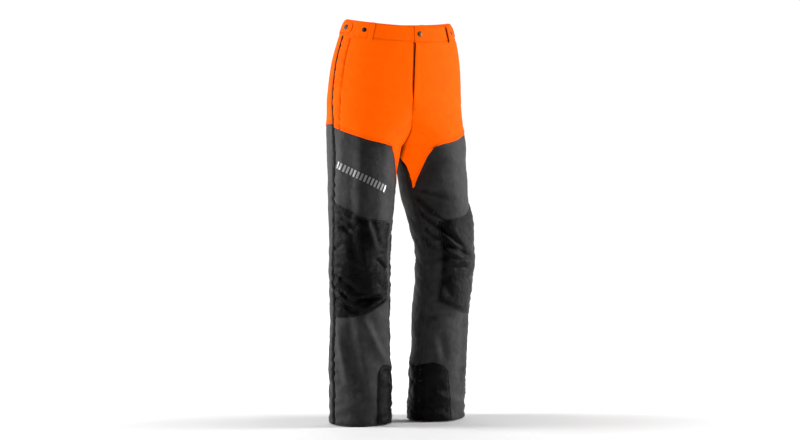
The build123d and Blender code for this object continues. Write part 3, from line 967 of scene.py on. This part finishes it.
def legs(name, side):
    """The grey panels of one leg, parted under the knee patch where nothing bends."""
    hip, knee, leg = f"hip {name}", f"knee {name}", f"leg {name}"
    for part, start, end, top in (
        ("front", front_start, front_inner, yoke_height),
        ("back", back_start, back_inner, back_yoke_height),
    ):
        cut = Cut(side, start, end, top, LEG_SPLIT)
        panel(f"thigh_{part}_{name}", cut, hip, "grey_cloth",
              nodes=(f"thigh_{part}_panel_{name}",))
        cut = Cut(side, start, end, LEG_SPLIT, -OUTSEAM)
        panel(f"shin_{part}_{name}", cut, knee, "grey_cloth",
              nodes=(f"knee_{part}_panel_{name}", f"shin_{part}_panel_{name}"))
    # a tube of black thread laid in the side seam as painted shade that darkens the seam's groove,
    # then the stitches beside it, the inseam's and the hem's
    z = run(-46, -1076, 900)
    stitch("black", leg, side, side_seam(z), z, 4.6, 3.4, 3.0)
    z = run(-330, -1040, 500)
    stitch("grey", leg, side, side_seam(z) + 5.0, z)
    z = run(-480, -1040, 400)
    stitch("grey", leg, side, back_inner(z) - 2.2, z, 0.3)
    angle = run(-160, 194, 500)
    stitch("grey", knee, side, np.where(angle < INSEAM, angle + 360, angle), -OUTSEAM + HEM, 0.35)


def patches(name, side):
    """The coated patches over the knee and round the ankle's inner side."""
    inner, front, back = PATCH_EDGE[side], ANKLE_FRONT[side], level(ANKLE_BACK)
    knee, shin = f"knee {name}", f"shin_{name}"

    def edge(z):
        return inner - 2.0 * smooth(-620, -740, z) + 3.0 * smooth(-560, -545, z)

    def start(z):
        return side_seam(z) - 1.2

    def top(share):
        return solve(PATCH_TOP, start, edge, share, -520.0)

    def bottom(share):
        return solve(PATCH_BOTTOM, start, edge, share, -780.0)

    def ankle_top(share):
        corner = 12 * np.clip(1 - share / 0.12, 0, 1) ** 2
        return solve(ANKLE_TOP, front, back, share, -930.0) - corner

    cut = Cut(side, start, edge, top, bottom, 4.0)
    away = cut.edge()
    puff = 1.3 * smooth(0, 16, away) + 0.25 * waves(cut.z + cut.angle, 21, 71) * smooth(3, 12, away)
    near, far = PATCH_ROWS
    puff = puff - 1.5 * hump(near, 1.7, away) - 1.3 * hump(far, 1.9, away)
    panel(f"knee_patch_cloth_{name}", cut, knee, "patch_cloth", 2.0 + puff, 1.1)
    share = run(0.02, 0.98)
    sew = partial(stitch, "grey", knee, side, lift=1.0, pitch=5.4, radius=0.5)
    for inset in PATCH_ROWS:
        for line, way in ((top, -1), (bottom, 1)):
            z = line(share) + way * inset
            sew(angle_at(start, edge, z, share), z)
        z = run(float(top(np.array(0.98))) - inset, float(bottom(np.array(0.98))) + inset)
        sew(edge(z) + inset * 0.72, z)

    cut = Cut(side, front, back, ankle_top, -OUTSEAM + 0.5, 4.0)
    away = cut.edge()
    lift = 1.25 + 0.6 * smooth(0, 10, away) - 0.8 * hump(near, 1.3, away)
    panel(f"ankle_patch_cloth_{name}", cut, shin, "patch_cloth", lift, 1.1)
    sew = partial(stitch, "black", shin, side, lift=1.1)
    share = run(0.02, 0.98, 160)
    z = ankle_top(share) - near
    sew(angle_at(front, back, z, share), z)
    z = run(-945, -1075)
    sew(front(z) - 1.8, z)
    sew(ANKLE_BACK + 1.8, run(-915, -1075))
    for z in (-941.0, -972.0):
        bar_tack("grey", shin, side, INSEAM, z, 10.0, 1.9)


def layers(name, side):
    """The saw protection that hangs behind the front cloth, and the lining inside it."""
    thigh = (LEG_SPLIT + 2, f"hip {name}")
    shin = (LEG_SPLIT - 2, -OUTSEAM + HEM_CLEAR, f"knee {name}")
    for piece, top, bottom, zone, nodes in (
        ("thigh", WADDING_TOP, *thigh, (f"hip_pad_{name}", f"thigh_pad_{name}")),
        ("shin", *shin, (f"knee_pad_{name}", f"shin_pad_{name}")),
    ):
        cut = Cut(side, lambda z: side_seam(z) - 5, lambda z: front_inner(z) + 9,
                  top, bottom, 5.0, 2.0, 5.0)
        quilt = np.abs(np.sin(arc(cut.z, cut.angle) * math.pi / QUILT))
        plump = smooth(0, 14, cut.edge()) * (0.35 + 0.65 * np.sqrt(quilt))
        builder = Builder()
        builder.sheet(cut.points(-1.9 - 2.2 * (1 - plump)), cut.points(-4.4 - 3.0 * plump))
        made = builder.piece(f"{piece}_wadding_{name}", WADDING, zone, nodes, "saw_protection")
    for piece, top, bottom, zone in (("thigh", LINING_TOP, *thigh), ("shin", *shin)):
        front, back = (
            Cut(side, left, right, top, bottom, 8.0, 6.0, 8.0)
            for left, right in (
                (lambda z: front_inner(z) + 1.5, side_seam),
                (side_seam, lambda z: back_inner(z) - 1.5),
            )
        )
        angle = np.concatenate([front.angle, back.angle[:, 1:]], 1)
        z = np.concatenate([front.z, back.z[:, 1:]], 1)
        sewn = seams(side, angle, z)
        face = SURFACE.at(side, angle, z, sewn - 7.8)
        builder = Builder()
        builder.sheet(face, SURFACE.at(side, angle, z, sewn - 8.5))
        made = builder.piece(f"{piece}_lining_cloth_{name}", CLOTHS["lining"], zone,
                             (f"{piece}_lining_{name}",), "lining")
        declare(made, face)


def hatch(name, side):
    """A reflective strip across the thigh: a row of slanted silver bars."""
    builder = Builder()
    (start, top), (end, foot) = STRIP_START, STRIP_END
    filled, slant = 0.55, 0.028
    up = np.linspace(-0.5, 0.5, 9)[:, None]
    for k in range(STRIP_BARS):
        t = run(k / STRIP_BARS, (k + filled) / STRIP_BARS, 6)[None] + up * slant
        angle, z = start + (end - start) * t, top + (foot - top) * t + up * STRIP_TALL
        sewn = seams(side, angle, z)
        builder.sheet(SURFACE.at(side, angle, z, sewn + 0.45), SURFACE.at(side, angle, z, sewn - 0.4))
    builder.piece(f"reflective_strip_{name}", PRINT, f"hip {name}", (), "grey_cloth")


# ---- waistband, pockets

# radius and height, from the cloth outwards
CAP = ((0, 0), (7.1, 0), (7.5, 0.35), (7.5, 0.95), (7.15, 1.35), (6.7, 1.25), (6.3, 1.32),
       (5.4, 1.75), (4.0, 2.05), (2.0, 2.2), (0, 2.22))
STUD = ((0, 0), (6.2, 0), (6.5, 0.3), (6.3, 0.75), (5.2, 0.95), (3.0, 0.9), (2.1, 1.1),
        (1.75, 1.9), (2.2, 2.6), (2.2, 3.0), (1.6, 3.3), (0, 3.35))


def front_snap_angle():
    return -float(centre(BAND_MIDDLE, FRONT_SNAP))


def snap(name, material, zone, node, slot, *spot):
    """A cap on the cloth; the spot is its side, angle, height and rise."""
    builder = Builder()
    builder.press(CAP, *spot)
    builder.piece(name, material, zone, (node,), slot, TURNED_SHARP)


def waistband():
    """The band in its four parts, with the elastic at the back."""
    for name, side in SIDES.items():
        reach = 180.0 - centre(0.0, FLY_HINGE - 4) if side < 0 else centre(0.0, FLY_HINGE + 0.3)
        cut = Cut(side, front_start, -reach, 0, -BAND, 3.0, sewn=False)
        edge = np.minimum(-cut.z, cut.z + BAND)
        lift = 0.3 - 1.1 * hump(0, 1.6, edge) - 0.35 * hump(4.5, 1.2, edge)
        lift = lift + 0.35 * waves(cut.angle, 9, 81) * hump(6, 8, edge)
        panel(f"waistband_cloth_{name}", cut, "seat", "orange_cloth", lift,
              BAND_THICK, (f"waistband_front_{name}",))
        for z in (-3.0, -BAND + EDGE_ROW):
            stitch("orange", "seat", side, run(-6, -float(reach) + 1.0), z, 0.3, sewn=False)
    builder, faces = Builder(), []
    for side in SIDES.values():
        cut = Cut(side, back_start, 90, 0, -BAND, 2.6, 1.2, 2.0, sewn=False)
        ruffle = waves(cut.angle, 3.1, 91) * smooth(2, 8, cut.angle) * (1 - hump(-21, 3, cut.z) * 0.5)
        edge = np.minimum(-cut.z, cut.z + BAND)
        lift = 0.9 * ruffle * smooth(0, 4, edge) - 0.9 * hump(0, 1.8, edge)
        lift = lift - 0.5 * hump(-14, 1.5, cut.z) - 0.5 * hump(-29, 1.5, cut.z)
        faces.append(cut.into(builder, lift * smooth(90, 88, cut.angle), BAND_THICK))
        for z in (-14.0, -29.0):
            stitch("orange", "seat", side, run(4, 89, 300), z, -0.15, sewn=False)
    made = builder.piece("waistband_elastic", CLOTHS["orange_cloth"], "seat", ("waistband_back",),
                         "orange_cloth")
    declare(made, np.concatenate([faces[0], faces[1][:, ::-1]], 1))


def loops():
    """Belt loops: folded straps tacked down at both ends."""
    builder = Builder()
    places = [(side, angle) for side in SIDES.values() for angle in (-45.0, 45.0)] + [(1, 90.0)]
    for side, angle in places:
        cut = Cut(side, angle - 2.7, angle + 2.7, 0.0, -BAND - 7, 2.0, 0.9, 1.2, sewn=False)
        free = smooth(0, 9, -cut.z) * smooth(-BAND - 7, -BAND + 3, cut.z)
        rib = 0.35 * np.cos((cut.share[None] - 0.5) * 4 * math.pi)
        edge = np.minimum(cut.share, 1 - cut.share)[None]
        cut.into(builder, 1.9 + 4.4 * free - 0.35 * rib - 0.5 * smooth(0.1, 0, edge), 1.5)
        for z in (-3.5, -BAND - 3.5):
            bar_tack("orange", "seat", side, angle, z, 7.5, 2.1)
    builder.piece("belt_loop_straps", CLOTHS["orange_cloth"], "seat", ("belt_loops",),
                  "orange_cloth")


def adjusters(name, side):
    """The tab that cinches the waist at one side, with its cap; studs() makes the studs under it."""
    zone = f"adjuster_{name}"

    def half(angle):
        round_off = np.sqrt(np.clip(1 - ((-8.0 - angle) / 10.5) ** 2, 0, 1))
        return TAB_HALF * np.where(angle < -8.0, 0.42 + 0.58 * round_off, 1.0)

    def ends(way):
        return lambda share: BAND_MIDDLE + way * half(TAB_SEWN + (TAB_TIP - TAB_SEWN) * share)

    cut = Cut(side, TAB_SEWN, TAB_TIP, ends(1), ends(-1), 2.5, 1.2, 2.5, sewn=False)
    away = cut.edge()
    lift = 2.6 - 0.7 * hump(0, 1.3, away) - 0.35 * hump(3.4, 0.9, away)
    lift = lift - 1.1 * smooth(20, TAB_SEWN, cut.angle)
    panel(f"adjuster_strap_{name}", cut, zone, "orange_cloth", lift, 1.4,
          (f"adjuster_tab_{name}",))
    angle = run(TAB_SEWN - 1, TAB_TIP + 2, 120)
    for way in (-1, 1):
        stitch("orange", zone, side, angle, BAND_MIDDLE + way * (half(angle) - EDGE_ROW), 2.3,
               sewn=False)
    snap(f"adjuster_snap_{name}", LACQUER, zone, f"adjuster_cap_{name}", "snap_black",
         side, SIDE_SNAP, BAND_MIDDLE, 2.5)


def fly():
    """The flap over the zip, the band's tab with its snap, and the shield behind."""
    side = 1
    sew = partial(stitch, "orange", "fly_flap", side)

    def bottom(share):
        return FLY_END - 1 + 24 * (1 - share) ** 2.5

    cut = Cut(side, beside(FLY_HINGE - 0.3), beside(0.0), -BAND - 0.6, bottom, 4.0, 1.2, 3.0)
    free = arc(cut.z, cut.angle[:, -1:] - cut.angle)
    lift = 1.9 + 2.4 * hump(0, 9, free) * smooth(FLY_END + 10, FLY_END + 90, cut.z)
    lift = lift - 0.5 * hump(0, 1.4, free) - 1.0 * hump(0, 1.2, cut.angle - cut.angle[:, :1])
    lift = lift + 0.3 * waves(cut.z, 32, 95) - 0.8 * smooth(-235, -250, cut.z)
    panel("fly_flap_cloth", cut, "fly_flap", "orange_cloth", lift, 1.2)
    z = run(-48, -244, 160)
    for x in (3.4, 8.0):
        sew(-centre(z, x), z, 1.5)
    z = run(-48, -222, 160)
    for x in (33.5, 29.0):
        sew(-centre(z, x * (1 - 0.75 * smooth(-200, -250, z) ** 2)), z, 1.5)
    bar_tack("orange", "fly_flap", side, -float(centre(-243.0, 6.0)), -243.0, 9.0, 1.4)
    # the tab's two ends, as angles
    sewn_end, free_end = -float(centre(0.0, FLY_HINGE - 0.3)), -float(centre(0.0, -2.0))
    cut = Cut(side, sewn_end - 0.4, free_end, 0, -BAND + 1.2, 2.6, 1.2, 3.0, sewn=False)
    away = cut.edge()
    lift = 2.9 - 0.8 * hump(0, 1.5, away) - 0.35 * hump(3.2, 1.0, away)
    panel("waistband_tab_cloth", cut, "fly_flap", "orange_cloth", lift, 1.4)
    for z in (-EDGE_ROW, -BAND + EDGE_ROW):
        sew(run(sewn_end + 0.5, free_end - 0.5, 60), z, 2.3, sewn=False)
    snap("front_snap", BRASS, "fly_flap", "front_snap_cap", "snap_brass",
         side, front_snap_angle(), BAND_MIDDLE, 2.8)
    cut = Cut(side, beside(FLY_HINGE - 4), beside(0.5), -BAND - 0.6, SEAT_END, 6.0, 2.0, 5.0,
              sewn=False)
    panel("fly_shield_cloth", cut, "seat", "lining", -10.5)


def studs():
    """The posts that the caps press onto: two at each side, one at the front."""
    builder = Builder()
    for side in SIDES.values():
        for angle in (SIDE_SNAP, SPARE_STUD):
            builder.press(STUD, side, angle, BAND_MIDDLE, 0.1)
    builder.press(STUD, 1, front_snap_angle(), BAND_MIDDLE, 0.1)
    builder.piece("snap_posts", LACQUER, "seat", ("snap_studs",), "snap_black", TURNED_SHARP)


def pockets(name, side):
    cut = Cut(side, -12, -58, -BAND - 4, SEAT_END + 4, 7.0, 4.0, 8.0)
    panel(f"pocket_bag_cloth_{name}", cut, "seat", "lining",
          -3.0 - 0.9 * smooth(0, 20, cut.edge()), 0.8)


def back_pocket():
    """A patch pocket on the right of the seat, under a flap with a snap."""
    side = SIDES["right"]

    def pocket_bottom(share):
        return SEAT_END + 9 * np.clip((np.abs(share - 0.5) - 0.32) / 0.18, 0, 1)

    def flap_bottom(share):
        return -118.0 - 8 * (1 - np.abs(2 * share - 1) ** 1.6)

    cut = Cut(side, *POCKET_SIDES, POCKET_TOP, pocket_bottom, 4.0, 1.4, 4.0)
    away = cut.edge()
    lift = 1.4 + 0.9 * smooth(0, 25, away) - 0.8 * hump(2.4, 1.2, away)
    panel("back_pocket_cloth", cut, "seat", "orange_cloth", lift, 1.1)
    left, right = POCKET_SIDES
    for angle in (left + 1, right - 1):
        stitch("orange", "seat", side, angle, run(POCKET_TOP - 1, -186, 100), 1.2)
    cut = Cut(side, *FLAP_SIDES, FLAP_TOP, flap_bottom, 3.0, 1.2, 3.0)
    away = cut.edge()
    lift = 3.6 - 0.6 * hump(0, 1.4, away) - 0.4 * hump(3.2, 1.0, away)
    lift = lift - 1.2 * smooth(FLAP_TOP - 5, FLAP_TOP, cut.z)
    panel("pocket_flap_cloth", cut, "pocket_flap", "orange_cloth", lift, 1.2)
    share = run(0.04, 0.96, 80)
    left, right = FLAP_SIDES
    angle = left + (right - left) * share
    stitch("orange", "pocket_flap", side, angle, flap_bottom(share) + EDGE_ROW, 3.3)
    snap("pocket_snap", LACQUER, "pocket_flap", "pocket_flap_cap", "snap_black",
         side, 52.0, -116.0, 3.7)


def zip_coils():
    """Two rows of coil teeth with their stops, on the CAD zip's own line."""
    low, high = (np.array(c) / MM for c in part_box("zip_chain"))
    start, end = np.array([10.0, low[1] + 1.7, high[2]]), np.array([10.0, high[1] - 1.7, low[2]])
    length, along = np.linalg.norm(end - start), unit(end - start)
    sideways = (1, 0, 0)
    front = np.cross(along, sideways)
    builder = Builder()
    pitch = 1.9
    for k in range(int((length - 8) / pitch)):
        for way in (-1, 1):
            middle = start + along * (4 + (k + 0.25 * way) * pitch)
            points = middle + np.outer(way * np.array([0.15, 0.5, 1.4, 2.3, 2.7]), sideways)
            builder.tube(points, (0.75, 1.0, 0.7, 0.75, 0.6), 8, 1.0, front)
    for t in (1.2, length - 1.4):
        points = start + np.outer((-2.6, 2.6), sideways) + along * t
        builder.tube(points, (1.3, 1.3), 10, 1.0, front)
    builder.piece("zip_coils", COIL, "seat", ("zip_chain",), "zip_coil")


def dress(node, material):
    """Gives a CAD node its material and softened edges."""
    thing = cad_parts[node]
    thing.data.materials.clear()
    thing.data.materials.append(material)
    soften = thing.modifiers.new("soften", "BEVEL")
    soften.width, soften.segments, soften.limit_method = 0.0003, 2, "ANGLE"


for leg, sign in SIDES.items():
    for make_side in (yokes, legs, patches, layers, pockets, adjusters):
        make_side(leg, sign)
hatch("right", SIDES["right"])
for make_middle in (waistband, loops, fly, studs, back_pocket, zip_coils):
    make_middle()
dress("zip_slider", BRASS)
dress("zip_pull", BRASS)
dress("zip_tapes", TAPE)
for (kind, zone), builder in STITCHES.items():
    builder.piece(f"stitches_{kind}_{zone.replace(' ', '_')}", THREADS[kind], zone)

# ---- the studio

CAMERA_TURN = math.radians(-25)
CAMERA_AWAY = 4.5
CAMERA_HEIGHT = -0.42
BACK = Vector((math.sin(CAMERA_TURN), -math.cos(CAMERA_TURN), 0))  # towards the camera
SIDEWAYS = Vector((math.cos(CAMERA_TURN), math.sin(CAMERA_TURN), 0))
WHITE = (0.9, 0.9, 0.9)
FLOOR_HALF = 30.0


def hang(name, data, at, aim):
    """Puts a camera or a light into the scene, looking at a point."""
    made = bpy.data.objects.new(name, data)
    made.location = at
    made.rotation_euler = (Vector(aim) - Vector(at)).to_track_quat("-Z", "Y").to_euler()
    bpy.context.scene.collection.objects.link(made)
    return made


def camera():
    data = bpy.data.cameras.new("camera")
    data.lens, data.sensor_width = 74.7, 36.0
    at = BACK * CAMERA_AWAY + Vector((0, 0, CAMERA_HEIGHT))
    aim = SIDEWAYS * 0.005 + Vector((0, 0, CAMERA_HEIGHT - 0.1175))
    bpy.context.scene.camera = hang("camera", data, at, aim)


def softboxes():
    for name, at, tall, power in (
        ("left_box", (-2.45, 1.14, 0.1), 2.4, 130),
        ("right_box", (2.5, -0.95, 0.1), 2.4, 115),
        ("front_box", (-1.9, -3.2, 0.9), 1.6, 3),
    ):
        data = bpy.data.lights.new(name, "AREA")
        data.shape, data.size, data.size_y, data.energy = "RECTANGLE", 0.8, tall, power
        hang(name, data, at, (0, 0, -0.55))


def backdrop():
    """A white cyclorama: bright behind and beside the trousers, dim on the camera's side."""
    s = Shader("studio", "worlds", "Background", "Generated")
    toward = s.vector("DOT_PRODUCT", s.here, (BACK.x, BACK.y, 0.15))["Value"]
    inputs = {"Value": toward, "From Min": -0.8, "From Max": -0.15, "To Min": 1.06, "To Max": 0.02}
    shade = s.add("MapRange", inputs, interpolation_type="SMOOTHSTEP").outputs[0]
    s.feed(s.skin, {"Strength": shade, "Color": (1, 1, 1, 1)})
    bpy.context.scene.world = s.owner


def floor():
    """A pale floor that brightens away behind the trousers, to meet the backdrop."""
    s = Shader("studio_floor")
    tone = s.ramp(s.noise(3.0, 2.0), (0.3, (0.86, 0.86, 0.86)), (0.7, WHITE))
    away = s.vector("DOT_PRODUCT", s.here, tuple(-BACK))["Value"]
    fade = s.ramp(s.math("MULTIPLY", away, 0.25), (0.02, (0, 0, 0)), (0.5, WHITE))
    s.finish(tone, 0.8, Specular_IOR_Level=0.1, Emission_Color=fade, Emission_Strength=1.0)
    half, height = FLOOR_HALF / MM, -OUTSEAM - 3.0
    corners = [(-half, -half), (half, -half), (half, half), (-half, half)]
    builder = Builder()
    builder.add([(x, y, height) for x, y in corners], [(0, 1, 2, 3)])
    builder.make("floor", s.owner)


camera()
softboxes()
backdrop()
floor()
bpy.context.scene.view_settings.view_transform = "Standard"
